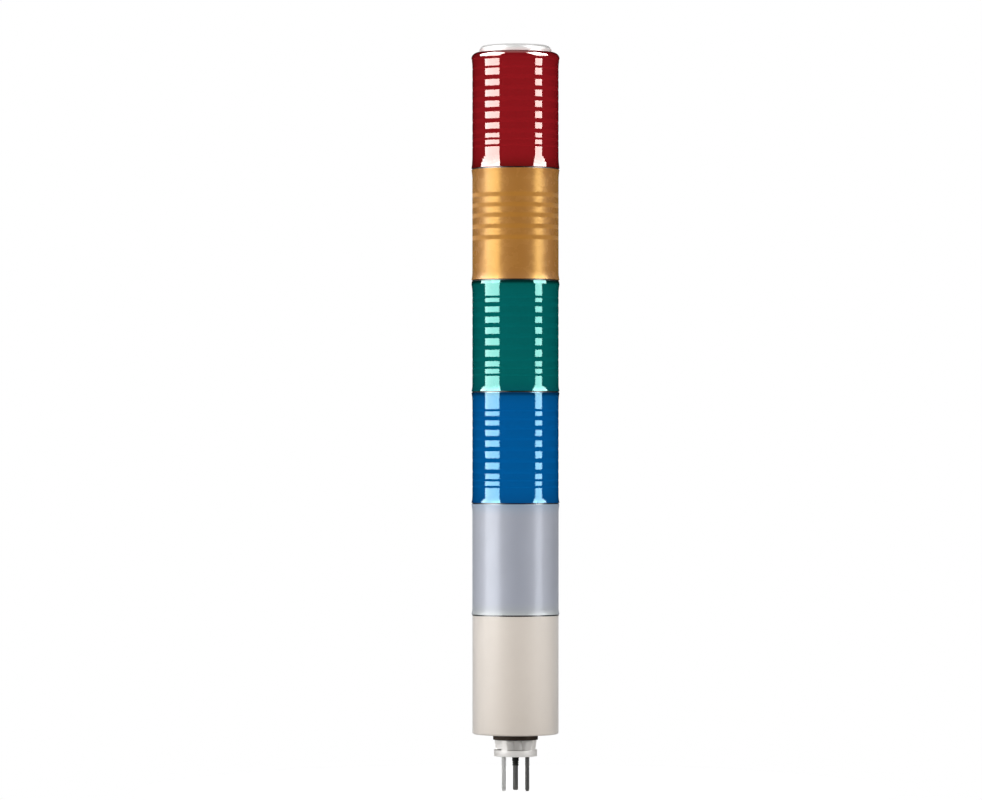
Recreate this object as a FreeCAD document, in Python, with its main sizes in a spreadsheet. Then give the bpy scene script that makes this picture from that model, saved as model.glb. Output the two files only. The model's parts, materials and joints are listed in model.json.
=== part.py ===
# Five-tier stack light: a white base on a mounting spigot, five coloured lens modules that lock on
# to each other by a short twist, and a white cap. Millimetres, Z up. The origin is the centre of the
# spigot's end face, which sits on the machine's panel; the studs and the lead go down through it.
import FreeCAD, Part
import os

import Sketcher

Vector = FreeCAD.Vector

# Driving dimensions, each written once.
sizes = {
    "TierPitch": (70.5, "height that one lens module adds to the stack"),
    "LensRadius": (27.3, "outside of a lens at its waist"),
    "RimStand": (0.6, "how far a lens's two rims stand out from its waist"),
    "RimFlare": (2.0, "height over which a rim tapers into the waist"),
    "LensWall": (2.3, "thickness of a lens at its waist"),
    "ShoulderRise": (3.8, "how far the top lens closes in above its upper rim"),
    "KneeInset": (1.3, "from the upper rim in to the knee of that rounded shoulder"),
    "KneeDrop": (1.2, "from the shoulder's top down to its knee"),
    "ShoulderLip": (2.8, "thickness of the top lens's inward shoulder"),
    "ModuleFlange": (0.8, "black flange of a module base, seen as the line between lenses"),
    "FlangeInset": (0.5, "how far that flange lies inside the rims"),
    "LocatorHeight": (2.0, "six-sided step that centres a lens on its module base"),
    "FitPlay": (0.15, "radial play of that step in the lens"),
    "HubInset": (2.9, "from a lens's bore to the corners of a twist-lock hub"),
    "HubWall": (2.4, "wall of the hollow twist-lock hub"),
    "LugDepth": (1.0, "from a joint down to the fixed lugs"),
    "LugThickness": (2.0, "height of a lug"),
    "LugReach": (2.2, "how far a fixed lug stands in from the bore"),
    "LugWidth": (8.0, "width of a turning lug"),
    "FixedLugWidth": (10.0, "width of a fixed lug"),
    "LugCount": (3, "lugs round a joint"),
    "LugPlay": (0.3, "gap round a turning lug"),
    "TwistTurn": (30, "degrees of twist that free a joint"),
    "StopWidth": (2.0, "stop that a turning lug meets when it is locked"),
    "CapRadius": (22.8, "outside of the cap"),
    "CapHeight": (4.1, "cap above the shoulder"),
    "CapChamfer": (2.0, "bevel round the cap"),
    "CapOpening": (19.5, "radius of the opening under the cap"),
    "CapLugReach": (1.8, "how far the cap's lugs reach under the shoulder"),
    "BaseInset": (0.05, "how far the base housing lies inside the waist of the lenses"),
    "BaseHeight": (75.0, "height of the base housing"),
    "BaseFloor": (3.0, "floor of the base housing"),
    "BaseChamfer": (0.8, "bevel round the foot of the base housing"),
    "SpigotHeight": (14.0, "from the panel to the base housing"),
    "SpigotFlange": (4.0, "thickness of the spigot's end flange"),
    "SpigotRadius": (13.6, "outside of the end flange"),
    "SpigotCore": (6.4, "outside of the spigot's middle tube"),
    "RibRoot": (2.0, "how deep a rib runs into the middle tube"),
    "RibInset": (0.3, "from the end flange's rim in to the foot of a rib"),
    "RibCount": (4, "ribs round the middle tube"),
    "RibWidth": (4.5, "width of a rib"),
    "RibTop": (14.3, "reach of a rib where it meets the seal"),
    "RibTurn": (58.0, "degrees from the X axis to the first rib"),
    "SealHeight": (3.6, "rubber seal between the spigot and the base housing"),
    "SealRadius": (14.2, "outside of that seal"),
    "StudCircle": (8.55, "radius of the circle of studs"),
    "StudCount": (3, "studs that hold the light on its panel"),
    "StudRadius": (1.5, "M3 studs"),
    "StudReach": (22.0, "length of a stud below the panel face"),
    "StudHead": (4.2, "side of the square head that is moulded into the end flange"),
    "StudGrip": (3.2, "depth of that head in the end flange"),
    "HolePlay": (0.05, "radial play of a stud, screw or lead in its hole"),
    "LeadRadius": (1.65, "outside of the supply lead"),
    "LeadReach": (21.5, "length of the lead below the panel face"),
    "ReliefRadius": (2.2, "upper half of the strain relief"),
    "ReliefTip": (1.95, "lower half of the strain relief"),
    "ReliefLength": (6.0, "strain relief below the panel face"),
    "ReliefGrip": (3.0, "depth of the strain relief in the end flange"),
    "ScrewRadius": (1.25, "screws that hold the spigot to the base"),
    "ScrewLength": (12.0, "length of those screws under the head"),
    "ScrewTipPlay": (0.5, "room under the tip of such a screw"),
    "ScrewHeadRadius": (2.8, "corners of the head of those screws"),
    "ScrewHeadHeight": (1.8, "height of that head"),
    "ScrewCircle": (11.0, "radius of the circle of those screws"),
    "BoardThickness": (1.6, "circuit boards"),
    "BoardWidth": (34.0, "width of a lamp board"),
    "PostThickness": (2.5, "posts that hold a board at its two edges"),
    "PostWidth": (5.0, "width of those posts"),
    "PostHeight": (9.0, "height of those posts"),
    "LedSize": (5.0, "side of a square lamp chip"),
    "LedHeight": (1.6, "how far a lamp chip stands off its board"),
    "LedRows": (4, "rows of lamp chips on each side of a board"),
    "LedSpacing": (20.0, "distance between the two columns of chips"),
    "SocketLength": (24.0, "contact socket on top of a board"),
    "SocketWidth": (9.0, "width of that socket"),
    "SocketHeight": (6.0, "height of that socket"),
    "PinCount": (6, "contact pins under a module, one for each tier and the common"),
    "PinSpacing": (3.6, "distance between contact pins"),
    "PinWidth": (1.2, "width of a contact pin"),
    "ContactGap": (0.3, "from a pin's tip to the socket under it"),
    "TerminalHeight": (10.0, "height of the terminal block"),
    "TerminalDepth": (8.0, "how far the terminal block stands off its board"),
    "TerminalWidth": (28.0, "width of the terminal block"),
    "TerminalRise": (20.0, "from the base's floor up to the terminal block"),
    "TerminalSetback": (3.6, "from the axis back to the terminal board"),
    "ClampSpacing": (4.4, "distance between the terminal screws"),
    "ClampSide": (2.4, "square heads of the terminal clamps"),
    "ClampHeight": (1.0, "how far those heads stand out"),
}

tiers = ("clear", "blue", "green", "amber", "red")

doc = FreeCAD.newDocument("StackLight")
sheet = doc.addObject("Spreadsheet::Sheet", "Sizes")
for row, (alias, (size, meaning)) in enumerate(sizes.items(), start=1):
    sheet.set(f"A{row}", meaning)
    sheet.set(f"B{row}", str(size))
    sheet.setAlias(f"B{row}", alias)
doc.recompute()


class Size(str):
    """A formula in the sheet's cells that adds, subtracts and scales like a number."""

    def joined(self, sign, other):
        return Size(f"({self} {sign} {other})")

    def __add__(self, other):
        return self.joined("+", other)

    def __sub__(self, other):
        return self.joined("-", other)

    def __mul__(self, other):
        return self.joined("*", other)

    def __truediv__(self, other):
        return self.joined("/", other)

    def __neg__(self):
        return Size(f"(0 - {self})")

    @property
    def now(self):
        return float(sheet.evalExpression(str(self)))


def size(alias):
    return Size(f"Sizes.{alias}")


def bind(thing, **formulas):
    for name, formula in formulas.items():
        thing.setExpression(name.replace("_", "."), str(formula))


zero = Size("0")
rim_radius = size("LensRadius") + size("RimStand")
socket_radius = size("LensRadius") - size("LensWall")
hub_radius = socket_radius - size("HubInset")
base_top = size("SpigotHeight") + size("BaseHeight")
fixed_lug_foot = size("LugDepth") + size("LugThickness")
turning_lug_top = fixed_lug_foot + size("LugPlay")
hub_depth = turning_lug_top + size("LugThickness")
board_foot = size("ModuleFlange") + size("LocatorHeight")


# ---- sketches and solid features that the pieces share ----

def new_body(label, height=zero):
    body = doc.addObject("PartDesign::Body", label)
    body.Label = label
    bind(body, Placement_Base_z=height)
    return body


def own(body, role):
    """One of the body's own planes or axes."""
    return next(f for f in body.Origin.OriginFeatures if f.Role == role)


def new_sketch(body, name, role, height):
    """A sketch on one of the body's own planes, shifted along that plane's normal."""
    sketch = body.newObject("Sketcher::SketchObject", name)
    sketch.AttachmentSupport = (own(body, role), [""])
    sketch.MapMode = "FlatFace"
    bind(sketch, AttachmentOffset_Base_z=height)
    return sketch


def outline(body, name, points, role="XY_Plane", height=zero):
    """A closed outline of straight edges, each corner held by two bound distances."""
    sketch = new_sketch(body, name, role, height)
    corners = [Vector(x.now, y.now, 0) for x, y in points]
    for start, end in zip(corners, corners[1:] + corners[:1]):
        sketch.addGeometry(Part.LineSegment(start, end), False)
    for edge, (x, y) in enumerate(points):
        sketch.addConstraint(Sketcher.Constraint("Coincident", edge, 2, (edge + 1) % len(points), 1))
        for kind, axis, formula in (("DistanceX", -2, x), ("DistanceY", -1, y)):
            if formula == zero:
                sketch.addConstraint(Sketcher.Constraint("PointOnObject", edge, 1, axis))
                continue
            held = sketch.addConstraint(Sketcher.Constraint(kind, -1, 1, edge, 1, formula.now))
            sketch.setExpression(f"Constraints[{held}]", str(formula))
    return sketch


def circle(body, name, radius, height=zero):
    sketch = new_sketch(body, name, "XY_Plane", height)
    sketch.addGeometry(Part.Circle(Vector(), Vector(0, 0, 1), radius.now), False)
    sketch.addConstraint(Sketcher.Constraint("Coincident", 0, 3, -1, 1))
    held = sketch.addConstraint(Sketcher.Constraint("Radius", 0, radius.now))
    sketch.setExpression(f"Constraints[{held}]", str(radius))
    return sketch


def block(body, name, x_span, y_span, height=zero):
    """A rectangular outline across the given spans."""
    (left, right), (front, back) = x_span, y_span
    return outline(body, name, [(left, front), (right, front), (right, back), (left, back)], height=height)


def hexagon(body, name, radius, height=zero):
    corners = []
    for turn in range(0, 360, 60):
        across = zero if turn % 180 == 0 else radius * f"sin({turn})"
        corners.append((radius * f"cos({turn})", across))
    return outline(body, name, corners, height=height)


def pad(body, sketch, length):
    feature = body.newObject("PartDesign::Pad", sketch.Name + "Pad")
    feature.Profile = sketch
    bind(feature, Length=length)
    return feature


def pocket(body, sketch, length):
    """Cuts upwards from the sketch, and makes sure that something was cut."""
    doc.recompute()
    before = body.Shape.Volume
    feature = body.newObject("PartDesign::Pocket", sketch.Name + "Pocket")
    feature.Profile = sketch
    feature.Reversed = True
    bind(feature, Length=length)
    doc.recompute()
    if body.Shape.Volume >= before:
        raise RuntimeError(f"{sketch.Name} cuts nothing out of {body.Label}")
    return feature


def revolve(body, points, name="Section"):
    sketch = outline(body, name, points, role="XZ_Plane")
    feature = body.newObject("PartDesign::Revolution", name + "Revolution")
    feature.Profile = sketch
    feature.ReferenceAxis = (sketch, ["V_Axis"])
    feature.Angle = 360
    return feature


def around(body, features, count):
    """Repeats features evenly round the body's axis."""
    pattern = body.newObject("PartDesign::PolarPattern", features[0].Name + "Around")
    pattern.Originals = features
    pattern.Axis = (own(body, "Z_Axis"), [""])
    pattern.Angle = 360
    bind(pattern, Occurrences=count)
    body.Tip = pattern
    return pattern


def box(label, length, width, height, x, y, z):
    """A plain block centred on x and y, standing on z."""
    solid = doc.addObject("Part::Box", label)
    bind(solid, Length=length, Width=width, Height=height)
    bind(solid, Placement_Base_x=x - length / 2, Placement_Base_y=y - width / 2, Placement_Base_z=z)
    return solid


def cylinder(label, radius, length, z, x=zero, y=zero):
    solid = doc.addObject("Part::Cylinder", label)
    bind(solid, Radius=radius, Height=length)
    bind(solid, Placement_Base_x=x, Placement_Base_y=y, Placement_Base_z=z)
    return solid


def group(label, members):
    """Like pieces that stay separate solids of one node."""
    whole = doc.addObject("Part::Compound", label)
    whole.Links = members
    return whole


# ---- the twist-lock that every joint of the stack uses ----

def fixed_lugs(body, joint):
    """Lugs round the bore below a joint, each with a stop that its turning lug meets when locked."""
    root = socket_radius + size("LensWall") / 3
    tip = socket_radius - size("LugReach")
    half = size("FixedLugWidth") / 2
    lug = block(body, "FixedLug", (tip, root), (-half, half), joint - fixed_lug_foot)
    stop_face = -(size("LugWidth") / 2 + size("LugPlay"))
    stop = block(body, "Stop", (tip, root), (stop_face - size("StopWidth"), stop_face), joint - hub_depth)
    stop_height = size("LugThickness") + size("LugPlay")
    around(body, [pad(body, lug, size("LugThickness")), pad(body, stop, stop_height)], size("LugCount"))


def twist_hub(body, radius, reach, lug_top):
    """A hollow six-sided hub under a piece, with lugs at every other corner that slide under fixed ones."""
    depth = lug_top + size("LugThickness")
    inside = radius - size("HubWall")
    body.Tip = pad(body, hexagon(body, "Hub", radius, -depth), depth)
    body.Tip = pocket(body, hexagon(body, "Hollow", inside, -depth), depth)
    half = size("LugWidth") / 2
    lug = block(body, "TurningLug", (inside, reach), (-half, half), -depth)
    around(body, [pad(body, lug, size("LugThickness"))], size("LugCount"))


def edge_posts(body, foot, setback=zero):
    """Two posts that hold a board by its edges."""
    near = size("BoardWidth") / 2
    far = near + size("PostThickness")
    half = size("PostWidth") / 2
    for name, span in (("LeftPost", (-far, -near)), ("RightPost", (near, far))):
        post = block(body, name, span, (setback - half, setback + half), foot)
        body.Tip = pad(body, post, size("PostHeight"))


# ---- one lens module ----

def lens(colour, joint, is_top):
    """A tube with a flared rim at each end; the top one closes in to a shoulder that carries the cap."""
    body = new_body(f"lens_{colour}", joint)
    foot = size("ModuleFlange")
    head = size("TierPitch")
    rim = rim_radius
    waist = size("LensRadius")
    flare = size("RimFlare")
    section = [(socket_radius, foot), (rim, foot), (waist, foot + flare), (waist, head - flare), (rim, head)]
    if is_top:
        shoulder = head + size("ShoulderRise")
        under = shoulder - size("ShoulderLip")
        opening = size("CapOpening")
        section += [(rim - size("KneeInset"), shoulder - size("KneeDrop")),
                    (size("CapRadius") + size("LugPlay"), shoulder), (opening, shoulder), (opening, under),
                    (socket_radius, under)]
    else:
        section += [(socket_radius, head)]
    revolve(body, section)
    if is_top:
        cap_ways(body, under)
    else:
        fixed_lugs(body, head)
    return body


def cap_ways(body, under):
    """Ways through the shoulder for the cap's lugs, and the stops that they meet when locked."""
    half = size("LugWidth") / 2 + size("LugPlay") * 2
    reach = size("CapOpening") + size("CapLugReach") + size("LugPlay")
    turn = "cos(Sizes.TwistTurn)"
    across = "sin(Sizes.TwistTurn)"
    inner = size("CapOpening") - size("CapLugReach")
    corners = []
    for x, y in ((inner, -half), (reach, -half), (reach, half), (inner, half)):
        corners.append((x * turn - y * across, x * across + y * turn))
    way = outline(body, "Way", corners, height=under - size("ShoulderLip"))
    cut = pocket(body, way, size("ShoulderLip") * 3)
    around(body, [cut], size("LugCount"))
    stop_face = -(size("LugWidth") / 2 + size("LugPlay"))
    stop = block(body, "CapStop", (size("CapOpening"), reach), (stop_face - size("StopWidth"), stop_face),
                 under - size("LugThickness"))
    around(body, [pad(body, stop, size("LugThickness") + size("LugPlay"))], size("LugCount"))


def module_base(colour, joint):
    """The black carrier under a lens: a flange in the joint, a step above it and a twist-lock hub below."""
    body = new_body(f"module_base_{colour}", joint)
    flange = circle(body, "Flange", rim_radius - size("FlangeInset"))
    pad(body, flange, size("ModuleFlange"))
    step = hexagon(body, "Step", socket_radius - size("FitPlay"), size("ModuleFlange"))
    pad(body, step, size("LocatorHeight"))
    edge_posts(body, board_foot)
    lug_corner = socket_radius - size("LugPlay")
    reach = Size(f"sqrt({lug_corner}^2 - (Sizes.LugWidth / 2)^2)")
    twist_hub(body, hub_radius, reach, turning_lug_top)
    return body


def contact_socket(label, joint):
    """The socket just under the pins of the module that stands on a joint; gives the height of its foot."""
    foot = joint - hub_depth - size("ContactGap") - size("SocketHeight")
    box(label, size("SocketLength"), size("SocketWidth"), size("SocketHeight"), zero, zero, foot)
    return foot


def lamp_board(colour, joint):
    """A lamp board with chips on both sides, the contact socket on top and the pins under the module."""
    thickness = size("BoardThickness")
    foot = joint + board_foot
    socket_foot = contact_socket(f"contact_socket_{colour}", joint + size("TierPitch"))
    box(f"led_board_{colour}", size("BoardWidth"), thickness, socket_foot - foot, zero, zero, foot)
    row_step = (socket_foot - foot) / size("LedRows")
    chips = []
    for row in range(int(size("LedRows").now)):
        for side in (-1, 1):
            for column in (-1, 1):
                x = size("LedSpacing") / 2 * column
                y = (thickness + size("LedHeight")) / 2 * side
                z = foot + row_step * (row + 0.5) - size("LedSize") / 2
                name = f"chip_{colour}_{len(chips)}"
                chips.append(box(name, size("LedSize"), size("LedHeight"), size("LedSize"), x, y, z))
    group(f"leds_{colour}", chips)
    contact_pins(colour, joint)


def contact_pins(colour, joint):
    count = int(size("PinCount").now)
    pins = []
    for k in range(count):
        x = size("PinSpacing") * (k - (count - 1) / 2)
        pins.append(box(f"pin_{colour}_{k}", size("PinWidth"), size("PinWidth"), hub_depth, x, zero,
                        joint - hub_depth))
    group(f"contact_pins_{colour}", pins)


# ---- the cap ----

def top_cap():
    body = new_body("top_cap", base_top + size("TierPitch") * len(tiers) + size("ShoulderRise"))
    radius = size("CapRadius")
    bevel = size("CapChamfer")
    top = size("CapHeight")
    revolve(body, [(zero, zero), (radius, zero), (radius, top - bevel), (radius - bevel, top), (zero, top)])
    twist_hub(body, size("CapOpening") - size("LugPlay"), size("CapOpening") + size("CapLugReach"),
              size("ShoulderLip") + size("LugPlay"))


# ---- the base ----

def on_circle(radius, turn):
    """The place at a radius from the axis, at a turn in degrees from the X axis."""
    return radius * f"cos({turn})", radius * f"sin({turn})"


def drilled(body, name, radius, out, turn, height=zero):
    """A round hole's outline, out from the axis at a turn."""
    sketch = new_sketch(body, name, "XY_Plane", height)
    x, y = on_circle(out, turn)
    sketch.addGeometry(Part.Circle(Vector(x.now, y.now, 0), Vector(0, 0, 1), radius.now), False)
    for kind, place, formula in (("Radius", (0,), radius), ("DistanceX", (-1, 1, 0, 3), x),
                                 ("DistanceY", (-1, 1, 0, 3), y)):
        held = sketch.addConstraint(Sketcher.Constraint(kind, *place, formula.now))
        sketch.setExpression(f"Constraints[{held}]", str(formula))
    return sketch


def stud_turns(body_turn=zero):
    """Where the studs stand on a body that is itself turned: one behind the lead, the others evenly round."""
    count = int(size("StudCount").now)
    return [Size(f"(90 + {k} * 360 / Sizes.StudCount - {body_turn})") for k in range(count)]


def screw_holes(body, turn, foot, depth):
    """Two holes opposite each other for the screws between the base housing and the spigot."""
    radius = size("ScrewRadius") + size("HolePlay")
    for k, across in enumerate((turn, turn + "180")):
        hole = drilled(body, f"ScrewHole{k}", radius, size("ScrewCircle"), across, foot)
        body.Tip = pocket(body, hole, depth)


def base_housing():
    body = new_body("base_housing", size("SpigotHeight"))
    radius = size("LensRadius") - size("BaseInset")
    bevel = size("BaseChamfer")
    head = size("BaseHeight")
    floor = size("BaseFloor")
    lead_way = size("LeadRadius") + size("HolePlay")
    revolve(body, [(lead_way, zero), (radius - bevel, zero), (radius, bevel), (radius, head),
                   (socket_radius, head), (socket_radius, floor), (lead_way, floor)])
    fixed_lugs(body, head)
    edge_posts(body, floor, size("TerminalSetback"))
    screw_holes(body, size("RibTurn"), zero, floor)


def mounting_spigot():
    """A middle tube on an end flange, with ribs that widen upwards to the seal under the base housing."""
    body = new_body("mounting_spigot")
    bind(body, Placement_Rotation_Angle=size("RibTurn"))
    core = size("SpigotCore")
    flange = size("SpigotFlange")
    outside = size("SpigotRadius")
    head = size("SpigotHeight") - size("SealHeight")
    lead_way = size("LeadRadius") + size("HolePlay")
    relief_way = size("ReliefRadius") + size("HolePlay")
    relief_top = size("ReliefGrip")
    revolve(body, [(relief_way, zero), (outside, zero), (outside, flange), (core, flange), (core, head),
                   (lead_way, head), (lead_way, relief_top), (relief_way, relief_top)])
    root = core - size("RibRoot")
    foot = outside - size("RibInset")
    corners = [(root, flange / 2), (foot, flange / 2), (foot, flange), (size("RibTop"), head), (root, head)]
    rib = outline(body, "Rib", corners, role="XZ_Plane", height=-size("RibWidth") / 2)
    around(body, [pad(body, rib, size("RibWidth"))], size("RibCount"))
    half = size("StudHead") / 2 + size("HolePlay")
    for k, turn in enumerate(stud_turns(size("RibTurn"))):
        x, y = on_circle(size("StudCircle"), turn)
        way = block(body, f"StudWay{k}", (x - half, x + half), (y - half, y + half))
        body.Tip = pocket(body, way, size("StudGrip"))
    screw_depth = size("ScrewLength") - size("BaseFloor") - size("SealHeight") + size("ScrewTipPlay")
    screw_holes(body, zero, head - screw_depth, screw_depth)


def neck_seal():
    """The rubber seal that the screws press between the spigot and the base housing."""
    body = new_body("neck_seal", size("SpigotHeight") - size("SealHeight"))
    lead_way = size("LeadRadius") + size("HolePlay")
    outside = size("SealRadius")
    head = size("SealHeight")
    revolve(body, [(lead_way, zero), (outside, zero), (outside, head), (lead_way, head)])
    screw_holes(body, size("RibTurn"), zero, head)


def studs():
    """Studs whose square heads are moulded into the end flange, turned with the spigot."""
    members = []
    half = size("StudHead") / 2
    for k, turn in enumerate(stud_turns()):
        x, y = on_circle(size("StudCircle"), turn)
        stud = new_body(f"stud_{k}")
        bind(stud, Placement_Base_x=x, Placement_Base_y=y, Placement_Rotation_Angle=size("RibTurn"))
        pad(stud, block(stud, f"StudHead{k}", (-half, half), (-half, half)), size("StudGrip"))
        shank = circle(stud, f"StudShank{k}", size("StudRadius"), -size("StudReach"))
        stud.Tip = pad(stud, shank, size("StudReach"))
        members.append(stud)
    group("mounting_studs", members)


def spigot_screws():
    """Six-sided screws from inside the base, through the seal and down into two of the spigot's ribs."""
    top = size("SpigotHeight") + size("BaseFloor")
    screws = []
    for k, turn in enumerate((size("RibTurn"), size("RibTurn") + "180")):
        x, y = on_circle(size("ScrewCircle"), turn)
        screw = new_body(f"screw_{k}", top)
        bind(screw, Placement_Base_x=x, Placement_Base_y=y)
        pad(screw, hexagon(screw, f"Head{k}", size("ScrewHeadRadius")), size("ScrewHeadHeight"))
        shank = circle(screw, f"Shank{k}", size("ScrewRadius"), -size("ScrewLength"))
        screw.Tip = pad(screw, shank, size("ScrewLength"))
        screws.append(screw)
    group("spigot_screws", screws)


def supply_lead():
    """The lead runs straight up through the strain relief and the floor to the terminal block."""
    block_foot = size("SpigotHeight") + size("BaseFloor") + size("TerminalRise")
    cylinder("supply_lead", size("LeadRadius"), block_foot + size("LeadReach"), -size("LeadReach"))
    body = new_body("strain_relief")
    bore = size("LeadRadius") + size("HolePlay") / 2
    grip = size("ReliefRadius")
    foot = -size("ReliefLength")
    step = foot / 2
    revolve(body, [(bore, foot), (size("ReliefTip"), foot), (size("ReliefTip"), step), (grip, step),
                   (grip, size("ReliefGrip")), (bore, size("ReliefGrip"))])


def terminals():
    """The board in the base with its socket, the terminal block and the heads of its screws."""
    floor = size("SpigotHeight") + size("BaseFloor")
    thickness = size("BoardThickness")
    back = size("TerminalSetback")
    depth = size("TerminalDepth")
    foot = floor + size("TerminalRise")
    socket_foot = contact_socket("base_socket", base_top)
    box("terminal_board", size("BoardWidth"), thickness, socket_foot - floor, zero, back, floor)
    face = back - thickness / 2 - depth
    box("terminal_block", size("TerminalWidth"), depth, size("TerminalHeight"), zero, face + depth / 2, foot)
    count = int(size("PinCount").now)
    heads = []
    side = size("ClampSide")
    for k in range(count):
        x = size("ClampSpacing") * (k - (count - 1) / 2)
        z = foot + (size("TerminalHeight") - side) / 2
        heads.append(box(f"clamp_{k}", side, size("ClampHeight"), side, x, face - size("ClampHeight") / 2, z))
    group("terminal_screws", heads)


base_housing()
mounting_spigot()
neck_seal()
studs()
spigot_screws()
supply_lead()
terminals()
top_cap()
for tier, colour in enumerate(tiers):
    joint = base_top + size("TierPitch") * tier
    lens(colour, joint, colour == tiers[-1])
    module_base(colour, joint)
    lamp_board(colour, joint)

doc.recompute()


def write_parts(folder):
    """Writes each sub-part to a STEP file named by its label, once all of them are sound."""
    failed = [thing.Label for thing in doc.Objects if {"Invalid", "Error"} & set(thing.State)]
    if failed:
        raise RuntimeError(f"these objects failed to recompute: {failed}")
    os.makedirs(folder, exist_ok=True)
    used = {member for thing in doc.Objects for member in thing.OutList if thing.TypeId.startswith("Part::")}
    for thing in doc.Objects:
        is_piece = thing.isDerivedFrom("PartDesign::Body") or thing.TypeId.startswith("Part::")
        if not is_piece or thing in used:
            continue
        if thing.Shape.isNull() or not thing.Shape.isValid():
            raise RuntimeError(f"{thing.Label} has no sound shape")
        thing.Shape.exportStep(f"{folder}/{thing.Label}.step")
        print(f"{thing.Label}: {len(thing.Shape.Solids)} solids, {thing.Shape.Volume:.0f} mm3")


write_parts("parts")
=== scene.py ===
import json
import math
import bpy
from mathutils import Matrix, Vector

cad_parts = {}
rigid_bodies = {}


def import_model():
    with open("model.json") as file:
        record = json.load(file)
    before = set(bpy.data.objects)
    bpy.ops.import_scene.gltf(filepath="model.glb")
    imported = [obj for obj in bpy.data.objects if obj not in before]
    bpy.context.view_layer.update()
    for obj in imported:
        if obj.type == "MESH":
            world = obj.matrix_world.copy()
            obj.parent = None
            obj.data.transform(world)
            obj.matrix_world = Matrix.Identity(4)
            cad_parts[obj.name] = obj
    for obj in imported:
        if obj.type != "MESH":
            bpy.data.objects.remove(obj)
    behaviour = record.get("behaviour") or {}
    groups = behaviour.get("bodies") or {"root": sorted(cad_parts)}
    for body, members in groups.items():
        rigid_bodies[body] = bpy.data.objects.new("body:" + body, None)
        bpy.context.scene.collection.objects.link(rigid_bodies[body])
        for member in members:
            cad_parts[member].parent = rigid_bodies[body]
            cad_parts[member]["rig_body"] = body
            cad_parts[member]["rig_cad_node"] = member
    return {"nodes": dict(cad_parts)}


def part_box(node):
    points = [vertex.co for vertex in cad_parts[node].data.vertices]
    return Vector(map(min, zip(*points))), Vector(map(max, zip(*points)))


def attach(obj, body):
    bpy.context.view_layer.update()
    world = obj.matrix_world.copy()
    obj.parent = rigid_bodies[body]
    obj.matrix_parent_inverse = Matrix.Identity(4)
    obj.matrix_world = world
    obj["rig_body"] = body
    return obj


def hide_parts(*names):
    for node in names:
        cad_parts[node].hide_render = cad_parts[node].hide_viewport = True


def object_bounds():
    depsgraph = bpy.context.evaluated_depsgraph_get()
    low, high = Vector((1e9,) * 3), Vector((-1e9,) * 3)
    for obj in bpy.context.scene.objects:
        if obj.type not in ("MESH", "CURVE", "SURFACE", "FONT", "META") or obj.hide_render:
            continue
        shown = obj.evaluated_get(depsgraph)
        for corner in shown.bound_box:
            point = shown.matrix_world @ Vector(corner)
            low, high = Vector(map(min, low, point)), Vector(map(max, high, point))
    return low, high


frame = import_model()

cadLow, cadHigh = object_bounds()
nodes = frame["nodes"]
mm = 0.001
same = 0.002 * mm  # vertices that are closer than this are one
tiers = ["clear", "blue", "green", "amber", "red"]  # from the base up


cameraSet = {
    "distance": 3.026,
    "height": 0.1937,
    "aside": -0.0155,
    "lens": 175.2,
    "raise": 0.0509,
    "sight": 60,
}

# Soft panels light the colours and aren't mirrored. Turns are degrees round from the camera, and
# heights and distances are metres.
panelSet = {
    "softFront": {"turns": (-42, 42), "heights": (-0.4, 1.0), "distance": 1.2, "brightness": 0.72},
    "softLeft": {"turns": (-108, -52), "heights": (-0.4, 1.0), "distance": 1.2, "brightness": 0.68},
    "softRight": {"turns": (66, 104), "heights": (-0.4, 1.0), "distance": 1.2, "brightness": 0.68},
    "softTop": {"turns": (-30, 30), "heights": (2.2, 3.6), "distance": 1.0, "brightness": 2.4},
}

# two tall bright strips are all that polished plastic mirrors, and they widen as they rise
stripSet = {
    "heights": (-5.0, 0.9, 1.1, 1.4, 1.8, 2.4, 3.4, 12.0),
    "left": {"inner": (-44, -42), "outer": (-89, -118)},
    "right": {"inner": (54, 47), "outer": (75, 104)},
    "distance": 5.0,
    "stepBack": 0.02,
    "brightness": 14.0,
    "brighterUp": 1.7,
}

studioSet = {
    "roomLight": 0.3,
    "curtainRadius": 9.0,
    "curtainHeights": (-8.0, 18.0),
    "curtainSides": 180,
    "floorRadius": 0.24,
    "floorSides": 128,
    "floorGap": 0.02 * mm,
    "floorTint": (236, 236, 236),
    "floorGlow": 0.75,
}


def deselect():
    if bpy.context.object and bpy.context.object.mode != "OBJECT":
        bpy.ops.object.mode_set(mode="OBJECT")
    bpy.ops.object.select_all(action="DESELECT")


def addCamera(given):
    bpy.ops.object.camera_add(location=(given["aside"], -given["distance"], given["height"]),
                              rotation=(math.radians(90), 0, 0))
    camera = bpy.context.object
    camera.name = "camera"
    camera.data.lens = given["lens"]
    camera.data.shift_y = given["raise"]
    camera.data.clip_end = given["sight"]
    bpy.context.scene.camera = camera
    bpy.context.scene.view_settings.view_transform = "Standard"


def addPanel(name, given, gloss):
    start, end = [math.radians(turn) for turn in given["turns"]]
    low, high = given["heights"]
    middle = (start + end) / 2
    width = 2 * given["distance"] * math.tan((end - start) / 2)
    place = (given["distance"] * math.sin(middle), -given["distance"] * math.cos(middle), (low + high) / 2)
    bpy.ops.object.light_add(type="AREA", location=place, rotation=(math.radians(90), 0, middle))
    panel = bpy.context.object
    panel.name = name
    panel.data.shape = "RECTANGLE"
    panel.data.size = width
    panel.data.size_y = high - low
    panel.data.energy = given["brightness"] * math.pi * width * (high - low)
    panel.visible_camera = False
    panel.visible_glossy = gloss
    panel.visible_diffuse = not gloss
    panel.visible_transmission = not gloss


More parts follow.
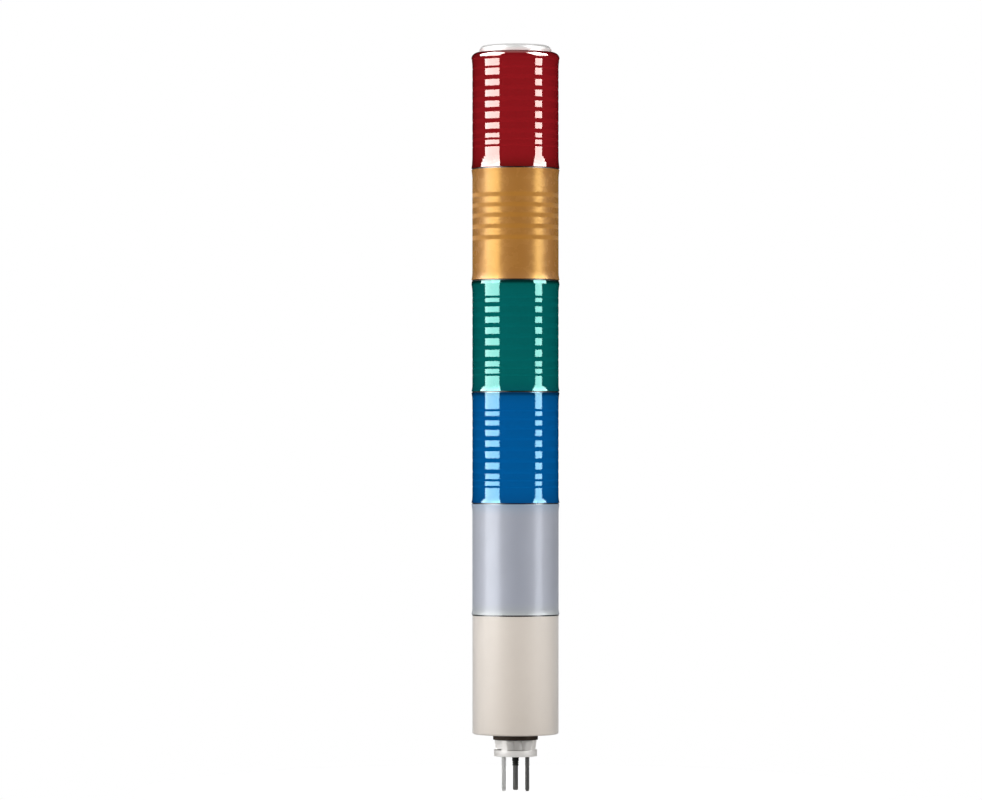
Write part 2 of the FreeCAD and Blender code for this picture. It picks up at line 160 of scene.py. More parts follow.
def addStrip(side, given):
    last = len(given["heights"]) - 2
    for step in range(last + 1):
        share = step / last
        edges = [start + (end - start) * share for start, end in (given[side]["inner"], given[side]["outer"])]
        addPanel(f"{side}Strip{step}", {
            "turns": sorted(edges),
            "heights": given["heights"][step:step + 2],
            "distance": given["distance"] + given["stepBack"] * step,
            "brightness": given["brightness"] * (1 + given["brighterUp"] * share ** 3),
        }, gloss=True)


deselect()
addCamera(cameraSet)
for panelName, panelGiven in panelSet.items():
    addPanel(panelName, panelGiven, gloss=False)
addStrip("left", stripSet)
addStrip("right", stripSet)
print("camera and panels are in place")


class Wire:  # a socket that does sums, one Math node for each sign
    def __init__(self, maker, socket):
        self.maker = maker
        self.socket = socket

    def joined(self, operation, first, second):
        return self.maker.node("ShaderNodeMath", {"operation": operation}, {0: first, 1: second})

    def __add__(self, other):
        return self.joined("ADD", self, other)

    def __radd__(self, other):
        return self.joined("ADD", other, self)

    def __mul__(self, other):
        return self.joined("MULTIPLY", self, other)

    def __rmul__(self, other):
        return self.joined("MULTIPLY", other, self)


class Nodes:  # makes and joins the nodes of one tree
    def __init__(self, tree):
        self.tree = tree

    def node(self, kind, settings=None, inputs=None, output=0):
        made = self.tree.nodes.new(kind)
        for name, value in (settings or {}).items():
            setattr(made, name, value)
        for name, value in (inputs or {}).items():
            self.plug(made.inputs[name], value)
        return Wire(self, made.outputs[output])

    def plug(self, socket, value):
        if isinstance(value, Wire):
            self.tree.links.new(value.socket, socket)
        else:
            socket.default_value = value

    def ray(self, *kinds):  # 1 for rays of these kinds, otherwise 0
        first, *others = [self.node("ShaderNodeLightPath", output=f"Is {kind} Ray") for kind in kinds]
        return sum(others, first)


class Finish(Nodes):
    def __init__(self, name, colour, roughness):
        self.material = bpy.data.materials.new(name)
        self.material.use_nodes = True
        super().__init__(self.material.node_tree)
        self.shader = self.tree.nodes["Principled BSDF"]
        self.colour = colour
        self.set(**{"Base Color": colour, "Roughness": roughness})

    def set(self, **values):
        for name, value in values.items():
            self.plug(self.shader.inputs[name], value)

    def place(self, scale=(1, 1, 1)):  # on the object itself
        point = self.node("ShaderNodeTexCoord", output="Object")
        return self.node("ShaderNodeMapping", {}, {"Vector": point, "Scale": scale})

    def along(self, axis):
        return self.node("ShaderNodeSeparateXYZ", {}, {"Vector": self.place()}, axis)

    def noise(self, size, detail=3.0, scale=(1, 1, 1)):  # size is the grain's size in metres
        return self.node("ShaderNodeTexNoise", {}, {
            "Vector": self.place(scale), "Scale": 1 / size, "Detail": detail})

    def blend(self, mask, first, second):  # colours
        return self.node("ShaderNodeMix", {"data_type": "RGBA"}, {0: mask, 6: first, 7: second}, 2)

    def between(self, value, low, high, start=0.0, end=1.0):
        return self.node("ShaderNodeMapRange", {}, {
            "Value": value, "From Min": low, "From Max": high, "To Min": start, "To Max": end})

    def spread(self, noise, start=0.0, end=1.0, span=(0.3, 0.7)):  # a noise keeps mostly inside its span
        return self.between(noise, *span, start, end)

    def cloud(self, size):  # broad and soft, from 0 to 1
        return self.spread(self.noise(size, detail=2.0), span=(0.35, 0.65))

    def bump(self, height, depth, strength=1.0):
        self.set(Normal=self.node("ShaderNodeBump", {}, {
            "Height": height, "Distance": depth, "Strength": strength}))


def tint(red, green, blue):  # a colour as a paint program writes it
    def linear(part):
        part /= 255
        return part / 12.92 if part <= 0.04045 else ((part + 0.055) / 1.055) ** 2.4
    return (linear(red), linear(green), linear(blue), 1.0)


def deeper(colour, share):
    return tuple(part * share for part in colour[:3]) + (1.0,)


def choose(piece, kind, test):  # selects faces, edges or vertices by a test, in edit mode
    bpy.context.view_layer.objects.active = piece
    piece.select_set(True)
    bpy.ops.object.mode_set(mode="EDIT")
    bpy.ops.mesh.select_mode(type=kind)
    bpy.ops.mesh.select_all(action="DESELECT")
    bpy.ops.object.mode_set(mode="OBJECT")
    mesh = piece.data
    if kind == "EDGE":
        for edge in mesh.edges:
            edge.select = test(*[mesh.vertices[vertex].co for vertex in edge.vertices])
    else:
        for part in mesh.polygons if kind == "FACE" else mesh.vertices:
            part.select = test(part)
    bpy.ops.object.mode_set(mode="EDIT")


def buildFloor(given):  # white to the eye, and gloss doesn't see it
    deselect()
    bpy.ops.mesh.primitive_circle_add(vertices=given["floorSides"], radius=given["floorRadius"],
                                      fill_type="NGON", location=(0, 0, cadLow.z - given["floorGap"]))
    floor = bpy.context.object
    floor.name = "floor"
    floor.visible_glossy = False
    paper = Finish("floorPaper", tint(*given["floorTint"]), roughness=0.9)
    paper.set(**{
        "Specular IOR Level": 0.0,
        "Emission Color": (1, 1, 1, 1),
        "Emission Strength": paper.ray("Camera", "Transmission") * given["floorGlow"],
    })
    floor.data.materials.append(paper.material)


def buildCurtain(given):  # only gloss sees it: it keeps the room's white out of the lenses
    low, high = given["curtainHeights"]
    deselect()
    bpy.ops.mesh.primitive_cylinder_add(vertices=given["curtainSides"], radius=given["curtainRadius"],
                                        depth=high - low, end_fill_type="NGON",
                                        location=(0, 0, (low + high) / 2))
    curtain = bpy.context.object
    curtain.name = "curtain"
    choose(curtain, "FACE", lambda face: face.normal.z > 0.5)  # its top is left open
    bpy.ops.mesh.delete(type="FACE")
    bpy.ops.object.mode_set(mode="OBJECT")
    cloth = Finish("curtainCloth", (0, 0, 0, 1), roughness=1.0)
    cloth.set(**{"Specular IOR Level": 0.0})
    curtain.data.materials.append(cloth.material)
    for kind in ("camera", "diffuse", "shadow", "transmission", "volume_scatter"):
        setattr(curtain, f"visible_{kind}", False)


def buildRoom(given):  # the room looks white but lights the object less
    world = bpy.data.worlds.new("room")
    bpy.context.scene.world = world
    world.use_nodes = True
    room = Nodes(world.node_tree)
    background = room.tree.nodes["Background"]
    room.plug(background.inputs["Color"], (1, 1, 1, 1))
    room.plug(background.inputs["Strength"], room.node("ShaderNodeMapRange", {}, {
        "Value": room.ray("Camera", "Glossy", "Transmission"), "To Min": given["roomLight"]}))


buildFloor(studioSet)
buildCurtain(studioSet)
buildRoom(studioSet)
print("floor, curtain and room are in place")


def latheUp(name, profile, sides):  # a ring, extruded and scaled along a profile, then closed
    radius, height = profile[0]
    deselect()
    bpy.ops.mesh.primitive_circle_add(vertices=sides, radius=radius, location=(0, 0, height))
    piece = bpy.context.object
    piece.name = name
    piece.data.name = name
    bpy.ops.object.transform_apply(location=True)
    bpy.ops.object.mode_set(mode="EDIT")
    bpy.ops.mesh.select_mode(type="VERT")
    bpy.ops.mesh.select_all(action="SELECT")
    for nextRadius, nextHeight in profile[1:]:
        bpy.ops.mesh.extrude_region_move(TRANSFORM_OT_translate={"value": (0, 0, nextHeight - height)})
        if nextRadius != radius:
            share = nextRadius / radius
            bpy.ops.transform.resize(value=(share, share, 1), center_override=(0, 0, nextHeight))
        radius, height = nextRadius, nextHeight
    bpy.ops.mesh.select_all(action="SELECT")
    bpy.ops.mesh.remove_doubles(threshold=same)
    bpy.ops.mesh.fill_holes(sides=0)
    bpy.ops.mesh.normals_make_consistent(inside=False)
    bpy.ops.object.mode_set(mode="OBJECT")
    return piece


def addBlock(name, low, high, turn, ease=0.12 * mm):  # a block with eased edges, turned about the axis
    deselect()
    middle = (Vector(low) + Vector(high)) / 2
    bpy.ops.mesh.primitive_cube_add(size=1, location=middle)
    block = bpy.context.object
    block.name = name
    block.scale = Vector(high) - Vector(low)
    bpy.ops.object.transform_apply(location=True, scale=True)
    bpy.ops.object.mode_set(mode="EDIT")
    bpy.ops.mesh.select_all(action="SELECT")
    bpy.ops.mesh.bevel(offset=ease, segments=1, affect="EDGES")
    bpy.ops.object.mode_set(mode="OBJECT")
    block.rotation_euler.z = math.radians(turn)
    bpy.ops.object.transform_apply(rotation=True)
    return block


def joinAll(pieces):
    deselect()
    for piece in pieces:
        piece.select_set(True)
    bpy.context.view_layer.objects.active = pieces[0]
    bpy.ops.object.join()
    return bpy.context.object


def smooth(piece, degrees):
    deselect()
    piece.select_set(True)
    bpy.context.view_layer.objects.active = piece
    bpy.ops.object.shade_smooth_by_angle(angle=math.radians(degrees))


def copyNode(node, name, flat=0.5):  # a CAD node's own shape, with its flat faces made whole
    deselect()
    source = nodes[node]
    source.select_set(True)
    bpy.context.view_layer.objects.active = source
    bpy.ops.object.duplicate()
    piece = bpy.context.object
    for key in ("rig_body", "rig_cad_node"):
        del piece[key]
    piece.parent = None
    piece.name = name
    piece.data.name = name
    bpy.ops.mesh.customdata_custom_splitnormals_clear()
    bpy.ops.object.mode_set(mode="EDIT")
    bpy.ops.mesh.select_mode(type="VERT")
    bpy.ops.mesh.select_all(action="SELECT")
    bpy.ops.mesh.remove_doubles(threshold=same)
    bpy.ops.mesh.dissolve_limited(angle_limit=math.radians(flat))
    bpy.ops.object.mode_set(mode="OBJECT")
    return piece


def easeEdges(piece, width, sharp=35, segments=2):  # rounds the edges that turn by more than sharp degrees
    deselect()
    piece.select_set(True)
    bpy.context.view_layer.objects.active = piece
    ease = piece.modifiers.new("ease", "BEVEL")
    ease.width = width
    ease.segments = segments
    ease.limit_method = "ANGLE"
    ease.angle_limit = math.radians(sharp)
    ease.use_clamp_overlap = True
    bpy.ops.object.modifier_apply(modifier=ease.name)


def finishPiece(piece, finish, body, replaced):
    piece.data.materials.clear()
    piece.data.materials.append(finish.material)
    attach(piece, body)
    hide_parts(replaced)


lensSet = {
    "sides": 144, "smoothing": 4.2,
    "rim": 27.9, "waist": 27.3, "bore": 25.0, "flange": 0.8,  # millimetres from here on
    "rimEase": 0.15,
    "flareHead": 6.0, "flareSteps": 8, "flareCurve": 2.0,
    "grooveWidth": 2.8, "endGrooveWidth": 1.5, "grooveDepth": 0.13, "grooveClear": 0.1,
    "endFoot": 19.0, "endHead": 12.0,
    "headLean": 0.3, "headBand": 2.0,
    "lugTip": 22.8, "lugRoot": 25.77, "lugHalf": 5.0, "lugThickness": 2.0, "lugDepth": 1.0,
    "stopFrom": -6.3, "stopTo": -4.3, "stopThickness": 2.3, "stopSunk": 0.3,
    "shoulderRise": 3.8, "shoulderEdge": 23.1, "shoulderLip": 2.8, "shoulderStep": 3,
    "opening": 19.5, "wayReach": 21.6, "wayHalf": 4.6, "wayTurns": (30, 150, 270),
    "openingWithin": 0.1,
    # the fades and the rim band are how far the painted shade reaches from a lens's ends, in millimetres
    "footShadeFade": 10.0, "headShadeFade": 9.0, "rimFrom": 2.6, "rimTo": 1.0,
    "cloud": 22.0, "grain": 6.0,
    "cloudShare": 0.4, "cloudTone": 0.9, "paintedRimShadeTone": 0.08,  # shares and factors from here on
    "matt": 0.6, "glance": (0.45, 0.7), "grainHaze": (0.85, 1.2), "sheenHaze": 0.4, "refraction": 1.5,
}

# The grooves are heights over the joint in millimetres, and depth is a share of grooveDepth.
# head and foot are painted shade: colours painted near a lens's ends for the shade the carrier inside
# casts there, and the rim value is how dark a band of painted shadow under its upper rim is, where the
# joint lies in shade. grooveShine and glance are what a matt groove keeps of the gloss, seen straight on and
# at a glancing angle.
lensLooks = {
    "red": {
        "colour": (171, 31, 38), "head": (140, 24, 30), "foot": (128, 26, 25), "glow": (255, 205, 190),
        "coat": 0.65, "coatHaze": 0.03, "shine": 0.5, "haze": 0.03, "sheen": 0.0,
        "glance": 1.0, "grooveShine": 0.0, "depth": 1.0, "flareFoot": 8.0, "lean": False, "paintedRimShade": 0.0,
        "grooves": (14.2, 18.4, 23.3, 29.9, 36.9, 43.6, 50.5, 57.2, 63.6, 69.6),
    },
    "amber": {
        "colour": (191, 125, 46), "head": (189, 122, 48), "foot": (182, 119, 54), "glow": (255, 216, 120),
        "coat": 0.1, "coatHaze": 0.6, "shine": 0.45, "haze": 0.26, "sheen": 0.3,
        "glance": 0.2, "grooveShine": 0.35, "depth": 0.3, "flareFoot": 5.0, "lean": False, "paintedRimShade": 0.0,
        "grooves": (27.0, 34.0, 41.0, 47.5, 54.0),
    },
    "green": {
        "colour": (6, 116, 114), "head": (8, 108, 98), "foot": (8, 104, 110), "glow": (110, 255, 236),
        "coat": 0.4, "coatHaze": 0.05, "shine": 0.45, "haze": 0.06, "sheen": 0.0,
        "glance": 1.0, "grooveShine": 0.0, "depth": 1.0, "flareFoot": 4.5, "lean": True, "paintedRimShade": 0.85,
        "grooves": (11.0, 15.4, 20.9, 28.1, 35.3, 42.2, 48.9, 55.3, 60.0),
    },
    "blue": {
        "colour": (4, 106, 182), "head": (8, 92, 150), "foot": (8, 92, 160), "glow": (110, 225, 255),
        "coat": 0.35, "coatHaze": 0.05, "shine": 0.45, "haze": 0.06, "sheen": 0.0,
        "glance": 1.0, "grooveShine": 0.0, "depth": 1.0, "flareFoot": 5.0, "lean": False, "paintedRimShade": 0.6,
        "grooves": (11.0, 15.2, 20.6, 27.6, 34.8, 41.6, 48.2, 54.2, 59.2),
    },
    "clear": {
        "colour": (168, 173, 188), "head": (150, 172, 196), "foot": (174, 180, 180), "glow": (240, 246, 255),
        "coat": 0.5, "coatHaze": 0.6, "shine": 0.12, "haze": 0.22, "sheen": 1.0,
        "flareFoot": 4.0, "lean": False, "paintedRimShade": 0.0,
        "grooves": (),
    },
}


def grooveHalf(groove, head, given):  # grooves near the ends of a lens are narrower
    inEnd = groove < given["endFoot"] or groove > head - given["endHead"]
    return given["endGrooveWidth" if inEnd else "grooveWidth"] / 2


def lensRadius(height, foot, head, look, given):  # outside of the lens at a height over its joint
    band = given["headBand"] if look["lean"] else 0
    if height > head - band:
        return given["rim"] - given["headLean"] * (height - head + band) / band
    atFoot = max(0, 1 - (height - foot) / look["flareFoot"]) ** given["flareCurve"]
    atHead = max(0, 1 - (head - band - height) / given["flareHead"]) ** given["flareCurve"]
    stand = given["rim"] - given["waist"]
    return min(given["rim"], given["waist"] + stand * (atFoot + atHead))


def lensProfile(foot, head, look, given, isTop):  # from the foot of the bore round to the head of the bore
    band = given["headBand"] if look["lean"] else 0
    heights = {foot + given["rimEase"], head - given["rimEase"]}
    if band:
        heights.add(head - band)
    for step in range(1, given["flareSteps"] + 1):
        share = step / given["flareSteps"]
        heights.add(foot + look["flareFoot"] * share)
        heights.add(head - band - given["flareHead"] * share)
    halves = {groove: grooveHalf(groove, head, given) for groove in look["grooves"]}
    points = [(height, 0) for height in heights
              if all(abs(height - groove) > half + given["grooveClear"] for groove, half in halves.items())]
    for groove, half in halves.items():
        points += [(groove - half, 0), (groove, given["grooveDepth"] * look["depth"]), (groove + half, 0)]
    profile = [(given["bore"], foot), (given["rim"] - given["rimEase"], foot)]
    profile += [(lensRadius(height, foot, head, look, given) - cut, height) for height, cut in sorted(points)]
    if isTop:
        top = head + given["shoulderRise"]
        under = top - given["shoulderLip"]
        reach = given["rim"] - given["shoulderEdge"]
        for turn in range(given["shoulderStep"], 90, given["shoulderStep"]):
            profile.append((given["shoulderEdge"] + reach * math.cos(math.radians(turn)),
                            head + given["shoulderRise"] * math.sin(math.radians(turn))))
        profile += [(given["shoulderEdge"], top), (given["opening"], top), (given["opening"], under),
                    (given["bore"], under)]
    else:
        edge = lensRadius(head, foot, head, look, given) - given["rimEase"]
        profile += [(edge, head), (given["bore"], head)]
    return profile + profile[:1]


def paintGrooves(piece, joint, head, look, given, finish):  # the lands between them stay polished
    piece.data.materials.append(finish.material)
    halves = {groove: grooveHalf(groove, head, given) for groove in look["grooves"]}
    wall = (given["waist"] + given["bore"]) / 2 * mm

    def inGroove(face):
        height = (face.center.z - joint) / mm
        return face.center.xy.length > wall and any(
            abs(height - groove) < half for groove, half in halves.items())

    choose(piece, "FACE", inGroove)
    piece.active_material_index = 1
    bpy.ops.object.material_slot_assign()
    bpy.ops.object.mode_set(mode="OBJECT")


def openWays(piece, given):  # the ways through the red lens's shoulder for the cap's lugs
    reach = (given["wayReach"] - given["opening"]) * mm
    for turn in given["wayTurns"]:
        middle = Vector((math.cos(math.radians(turn)), math.sin(math.radians(turn))))

        def inWay(vertex):
            flat = vertex.co.xy
            across = abs(flat.x * middle.y - flat.y * middle.x)
            onOpening = abs(flat.length - given["opening"] * mm) < given["openingWithin"] * mm
            return onOpening and flat.dot(middle) > 0 and across < given["wayHalf"] * mm

        choose(piece, "VERT", inWay)
        bpy.ops.transform.translate(value=(middle.x * reach, middle.y * reach, 0))
        bpy.ops.object.mode_set(mode="OBJECT")


def addLugs(head, top, given, isTop):  # fixed lugs for the piece above, and the stops that it meets
    stop = (given["stopFrom"], given["stopTo"])
    if isTop:
        under = top - given["shoulderLip"] * mm
        boxes = [(given["opening"], given["wayReach"], stop,
                  under - given["lugThickness"] * mm, under + given["stopSunk"] * mm)]
    else:
        lugTop = head - given["lugDepth"] * mm
        lugFoot = lugTop - given["lugThickness"] * mm
        boxes = [(given["lugTip"], given["lugRoot"], (-given["lugHalf"], given["lugHalf"]), lugFoot, lugTop),
                 (given["lugTip"], given["lugRoot"], stop,
                  lugFoot - given["stopThickness"] * mm, lugFoot + given["stopSunk"] * mm)]
    return [addBlock("lug", (inside * mm, sides[0] * mm, low), (outside * mm, sides[1] * mm, high), turn)
            for turn in (0, 120, 240) for inside, outside, sides, low, high in boxes]


def lensFinish(colour, foot, head, look, given, isGroove=False):  # lands are polished, grooves matt
    body = tint(*look["colour"])
    finish = Finish(f"lens_{colour}_{'groove' if isGroove else 'land'}", body, look["haze"])
    height = finish.along("Z")
    cloud = finish.cloud(given["cloud"] * mm)
    # painted shade: atFoot and atHead fade the colour towards the darker head and foot colours near the
    # lens's ends
    atFoot = finish.between(height, foot, foot + given["footShadeFade"] * mm, 1.0, 0.0)
    atHead = finish.between(height, head - given["headShadeFade"] * mm, head)
    # painted shadow: a dark band just under the upper rim, where the joint above lies in shade
    atPaintedRimShade = finish.between(height, head - given["rimFrom"] * mm, head - given["rimTo"] * mm)
    mixed = finish.blend(cloud * given["cloudShare"], body, deeper(body, given["cloudTone"]))
    mixed = finish.blend(atHead * atHead, mixed, tint(*look["head"]))
    mixed = finish.blend(atPaintedRimShade * look["paintedRimShade"], mixed, deeper(body, given["paintedRimShadeTone"]))
    mixed = finish.blend(atFoot * atFoot, mixed, tint(*look["foot"]))
    haze, shine, coat = look["haze"], look["shine"], look["coat"]
    clearest, haziest = given["grainHaze"]
    if isGroove:
        haze = given["matt"]
        shine = shine * look["grooveShine"]
        facing = finish.node("ShaderNodeLayerWeight", output="Facing")
        coat = finish.between(facing, *given["glance"]) * look["glance"]
    finish.set(**{
        "Base Color": mixed,
        "Roughness": finish.spread(finish.noise(given["grain"] * mm), haze * clearest, haze * haziest),
        "IOR": given["refraction"],
        "Specular IOR Level": shine,
        "Specular Tint": tint(*look["glow"]),
        "Coat Weight": coat,
        "Coat Roughness": look["coatHaze"],
        "Coat IOR": given["refraction"],
        "Sheen Weight": look["sheen"],
        "Sheen Roughness": given["sheenHaze"],
        "Sheen Tint": tint(*look["glow"]),
    })
    return finish


def buildLens(colour, given):
    look = lensLooks[colour]
    isTop = colour == tiers[-1]
    low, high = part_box(f"lens_{colour}")
    head = high.z - (given["shoulderRise"] * mm if isTop else 0)
    joint = low.z - given["flange"] * mm
    profile = lensProfile(given["flange"], (head - joint) / mm, look, given, isTop)
    profile = [(radius * mm, joint + height * mm) for radius, height in profile]
    shell = latheUp("shell", profile, given["sides"])
    smooth(shell, given["smoothing"])
    if isTop:
        openWays(shell, given)
    piece = joinAll([shell] + addLugs(head, high.z, given, isTop))
    piece.name = f"lensShell_{colour}"
    piece.data.name = piece.name
    land = lensFinish(colour, low.z, high.z, look, given)
    finishPiece(piece, land, f"module_{colour}", f"lens_{colour}")
    if look["grooves"]:
        groove = lensFinish(colour, low.z, high.z, look, given, isGroove=True)
        paintGrooves(piece, joint, (head - joint) / mm, look, given, groove)
    print("lens", colour, len(piece.data.polygons), "faces")


for colour in tiers:
    buildLens(colour, lensSet)


plasticSet = {
    "cloud": 30.0, "cloudShare": 0.5, "cloudTone": 0.94,  # millimetres, then shares
    "fine": 3.0, "fineHaze": (0.9, 1.1), "sheenHaze": 0.5,
}
metalSet = {"detail": 4.0, "stretch": (1, 1, 0.15), "haze": (0.8, 1.3), "depth": 0.01, "strength": 0.4}

# dull zinc with painted light across it: a painted highlight makes it pale on the left and painted shade
# makes it dark on the right
zincSet = {
    "bright": (250, 250, 248), "paintedShadeAndDirtTone": (98, 98, 96), "across": 6.0, "shine": 0.12,
    "grain": 0.4, "detail": 4.0, "dirt": 0.4, "haze": (0.4, 0.6),
}


def plastic(name, colour, roughness, grain, depth, shine=0.5, sheen=0.0, given=plasticSet):
    finish = Finish(name, tint(*colour), roughness)
    cloud = finish.cloud(given["cloud"] * mm)
    fine = finish.noise(given["fine"] * mm)
    clearest, haziest = given["fineHaze"]
    finish.set(**{
        "Base Color": finish.blend(cloud * given["cloudShare"], finish.colour,
                                   deeper(finish.colour, given["cloudTone"])),
        "Roughness": finish.spread(fine, roughness * clearest, roughness * haziest),
        "Specular IOR Level": shine,
        "Sheen Weight": sheen,
        "Sheen Roughness": given["sheenHaze"],
    })
    finish.bump(finish.noise(grain * mm, detail=2.0), depth * mm)
    return finish


def metal(name, colour, roughness, scratch, given=metalSet):
    finish = Finish(name, tint(*colour), roughness)
    streak = finish.noise(scratch * mm, given["detail"], given["stretch"])
    clearest, haziest = given["haze"]
    finish.set(**{
        "Metallic": 1.0,
        "Roughness": finish.spread(streak, roughness * clearest, roughness * haziest),
    })
    finish.bump(streak, given["depth"] * mm, given["strength"])
    return finish


def zinc(name, given=zincSet):
    bright, paintedShadeAndDirtTone = tint(*given["bright"]), tint(*given["paintedShadeAndDirtTone"])
    finish = Finish(name, bright, roughness=0.5)
    streak = finish.noise(given["grain"] * mm, given["detail"])
    # the colour runs across X from the painted highlight on the left to the painted shade on the right, and
    # noise darkens it in streaks of dirt
    side = finish.between(finish.along("X"), -given["across"] * mm, given["across"] * mm)
    finish.set(**{
        "Base Color": finish.blend(streak * given["dirt"], finish.blend(side, bright, paintedShadeAndDirtTone), paintedShadeAndDirtTone),
        "Roughness": finish.spread(streak, *given["haze"]),
        "Specular IOR Level": given["shine"],
    })
    return finish


# name: colour, roughness, then the size and depth of its grain in millimetres, shine and sheen
plastics = {
    "ivory_plastic": ((232, 220, 207), 0.65, 0.5, 0.02, 0.34, 1.0),
    "white_plastic": ((248, 245, 241), 0.45, 0.5, 0.01, 0.25),
    "cap_plastic": ((250, 249, 247), 0.35, 0.5, 0.005),
    "black_plastic": ((20, 20, 22), 0.3, 0.4, 0.01),
    "board": ((22, 78, 52), 0.4, 0.8, 0.01),
    "lamp_chip": ((236, 226, 168), 0.3, 0.3, 0.005),
    "lead": ((98, 98, 96), 0.5, 0.4, 0.01, 0.2),
    "relief": ((26, 25, 22), 0.6, 0.4, 0.01, 0.2),
    "terminal": ((70, 110, 84), 0.4, 0.4, 0.01),
    # the seal's dark brown is partly its own colour and partly painted shade, standing in for the shadow
    # under the base
    "seal": ((52, 42, 33), 0.7, 0.4, 0.02, 0.1),
}
finishes = {name: plastic(name, *given) for name, given in plastics.items()}
finishes["brass"] = metal("brass", (214, 178, 104), roughness=0.3, scratch=0.3)
finishes["steel"] = metal("steel", (190, 192, 196), roughness=0.28, scratch=0.3)
finishes["stud_zinc"] = zinc("stud_zinc")
for colour in tiers:
    hidden = tint(*lensLooks[colour]["colour"])
    finishes[f"lens_{colour}"] = Finish(f"lens_{colour}_hidden", hidden, roughness=0.2)

for node in nodes.values():
    for slot in node.material_slots:
        slot.material = finishes[slot.material.name.split(".")[0]].material
print("finishes are on")


capSet = {
    "radius": 22.8, "bevel": 2.0, "ease": 0.75, "easeSteps": 4,  # millimetres
    "level": 0.01, "dropWithin": 0.02, "radiusWithin": 0.15,
    "smoothing": 30,
}


def buildCap(given):
    low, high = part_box("top_cap")
    piece = copyNode("top_cap", "capShell")
    rings = [(0, given["radius"] - given["bevel"]), (given["bevel"], given["radius"])]

    def onBevel(first, second):  # the two rings at the top and the foot of the cap's bevel
        drop, radius = (high.z - first.z) / mm, first.xy.length / mm
        return abs(first.z - second.z) < given["level"] * mm and any(
            abs(drop - ringDrop) < given["dropWithin"] and abs(radius - ringRadius) < given["radiusWithin"]
            for ringDrop, ringRadius in rings)

    choose(piece, "EDGE", onBevel)
    bpy.ops.mesh.bevel(offset=given["ease"] * mm, segments=given["easeSteps"], affect="EDGES")
    bpy.ops.object.mode_set(mode="OBJECT")
    smooth(piece, given["smoothing"])
    finishPiece(piece, finishes["cap_plastic"], "cap", "top_cap")


buildCap(capSet)
print("cap is on")


# millimetres of easing on the edges, then degrees under which the piece is smooth
baseSet = {
    "baseShell": {"node": "base_housing", "finish": "ivory_plastic", "ease": 0.35, "smoothing": 20},
    "spigotShell": {"node": "mounting_spigot", "finish": "white_plastic", "ease": 0.3, "smoothing": 30},
    "sealRing": {"node": "neck_seal", "finish": "seal", "ease": 0.25, "smoothing": 30},
}


def buildBase(given):
    for name, look in given.items():
        piece = copyNode(look["node"], name)
        easeEdges(piece, look["ease"] * mm)
        smooth(piece, look["smoothing"])
        finishPiece(piece, finishes[look["finish"]], "base", look["node"])


studSet = {
    "circle": 8.55, "count": 3, "firstTurn": 90, "radius": 1.5,  # millimetres and degrees
    "thread": 0.5, "threadDepth": 0.27, "steps": 20, "tipGap": 0.02, "neck": 0.1, "sunk": 0.4, "sides": 32,
    "head": 4.2, "grip": 3.2, "headTurn": 58.0, "round": 0.45, "smoothing": 35,
}


def buildRod(given, tip):
    root = given["radius"] - given["threadDepth"]
    profile = [(root - given["round"], tip + given["tipGap"]), (root - given["neck"], tip + given["round"]),
               (root, tip + 2 * given["round"]), (root, given["sunk"])]
    rod = latheUp("rod", [(radius * mm, height * mm) for radius, height in profile], given["sides"])
    smooth(rod, given["smoothing"])
    return rod


def buildThread(given, tip):  # a triangle that points outwards, screwed up along the rod
    start = tip + 3 * given["round"]
    deselect()
    bpy.ops.mesh.primitive_circle_add(vertices=3, radius=given["threadDepth"] * mm,
                                      rotation=(math.radians(90), math.radians(90), 0),
                                      location=((given["radius"] - given["threadDepth"]) * mm, 0, start * mm))
    thread = bpy.context.object
    thread.scale.x = given["thread"] / (math.sqrt(3) * given["threadDepth"])
    bpy.ops.object.transform_apply(location=True, rotation=True, scale=True)
    screw = thread.modifiers.new("screw", "SCREW")
    screw.axis = "Z"
    screw.angle = 2 * math.pi
    screw.iterations = int(-start / given["thread"])
    screw.steps = screw.render_steps = given["steps"]
    screw.screw_offset = given["thread"] * mm
    bpy.ops.object.modifier_apply(modifier=screw.name)
    bpy.ops.object.mode_set(mode="EDIT")
    bpy.ops.mesh.select_all(action="SELECT")
    bpy.ops.mesh.remove_doubles(threshold=same / 10)
    bpy.ops.mesh.select_non_manifold()
    bpy.ops.mesh.edge_face_add()
    bpy.ops.mesh.select_all(action="SELECT")
    bpy.ops.mesh.normals_make_consistent(inside=False)
    bpy.ops.object.mode_set(mode="OBJECT")
    return thread


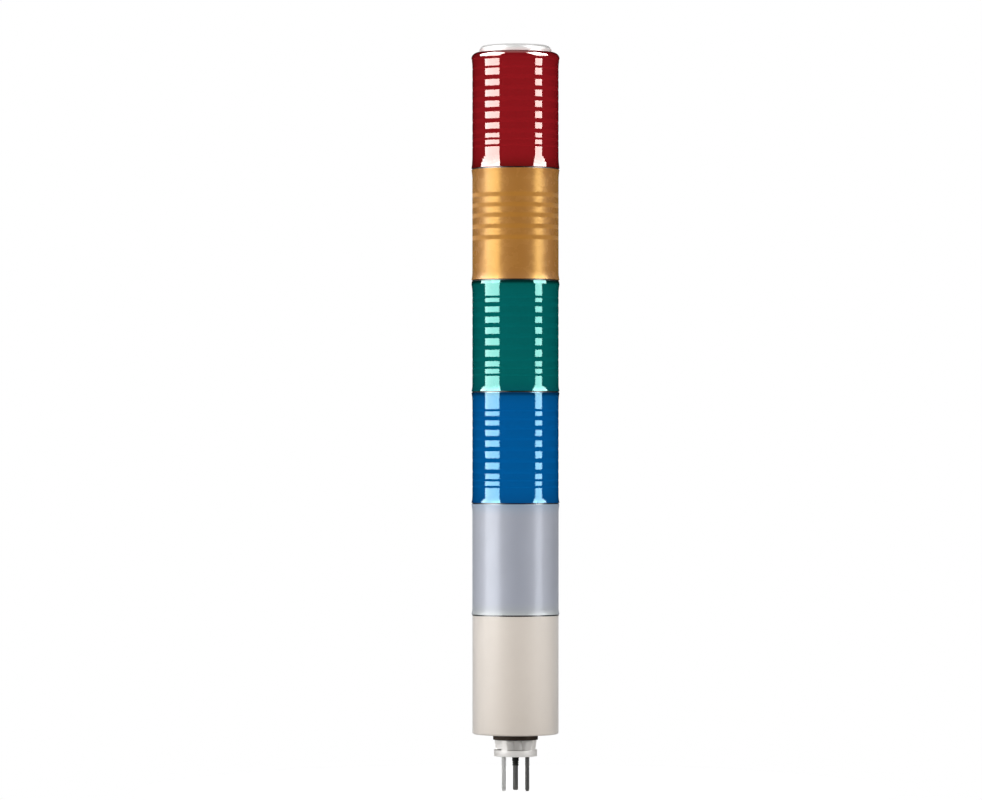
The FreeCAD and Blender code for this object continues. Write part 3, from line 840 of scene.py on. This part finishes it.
def buildStud(number, given, tip):  # a threaded rod with a square head moulded into the flange
    half = given["head"] / 2 * mm
    head = addBlock("head", (-half, -half, 0), (half, half, given["grip"] * mm), given["headTurn"])
    stud = joinAll([buildRod(given, tip), buildThread(given, tip), head])
    turn = math.radians(given["firstTurn"] + number * 360 / given["count"])
    stud.location = (given["circle"] * mm * math.cos(turn), given["circle"] * mm * math.sin(turn), 0)
    bpy.ops.object.transform_apply(location=True)
    return stud


def buildStuds(given):
    low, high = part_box("mounting_studs")
    studs = joinAll([buildStud(number, given, low.z / mm) for number in range(given["count"])])
    studs.name = "studs"
    studs.data.name = "studs"
    finishPiece(studs, finishes["stud_zinc"], "base", "mounting_studs")
    print("studs have", len(studs.data.polygons), "faces")


leadSet = {
    "radius": 1.65, "round": 0.6, "roundStep": 15,  # millimetres and degrees
    "sides": 48, "smoothing": 35,
}


def buildLead(given):  # a straight rod with a rounded lower end
    low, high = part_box("supply_lead")
    profile = []
    for turn in range(0, 91, given["roundStep"]):
        angle = math.radians(turn)
        profile.append(((given["radius"] - given["round"] * (1 - math.sin(angle))) * mm,
                        low.z + given["round"] * (1 - math.cos(angle)) * mm))
    profile.append((given["radius"] * mm, high.z))
    lead = latheUp("leadSheath", profile, given["sides"])
    smooth(lead, given["smoothing"])
    finishPiece(lead, finishes["lead"], "base", "supply_lead")


reliefSet = {
    "bore": 1.675, "radius": 2.2, "tip": 1.95, "grip": 3.0,  # millimetres
    "rings": 4, "ringDepth": 0.22, "ringSlope": 0.2, "sides": 48, "smoothing": 35,
}


def buildRelief(given):  # a sleeve with rings round it
    low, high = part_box("strain_relief")
    foot = low.z / mm
    half = -foot / given["rings"] / 2
    slope = given["ringSlope"] * half
    profile = [(given["bore"], foot)]
    for ring in range(given["rings"]):
        outside = given["tip"] if ring < given["rings"] / 2 else given["radius"]
        inside = outside - given["ringDepth"]
        height = foot + 2 * half * ring
        profile += [(outside, height), (outside, height + half),
                    (inside, height + half + slope), (inside, height + 2 * half - slope)]
    profile += [(given["radius"], 0), (given["radius"], given["grip"]), (given["bore"], given["grip"])]
    profile = [(radius * mm, height * mm) for radius, height in profile + profile[:1]]
    relief = latheUp("reliefSleeve", profile, given["sides"])
    smooth(relief, given["smoothing"])
    finishPiece(relief, finishes["relief"], "base", "strain_relief")


buildBase(baseSet)
buildStuds(studSet)
buildLead(leadSet)
buildRelief(reliefSet)
print("base, studs and lead are in place")
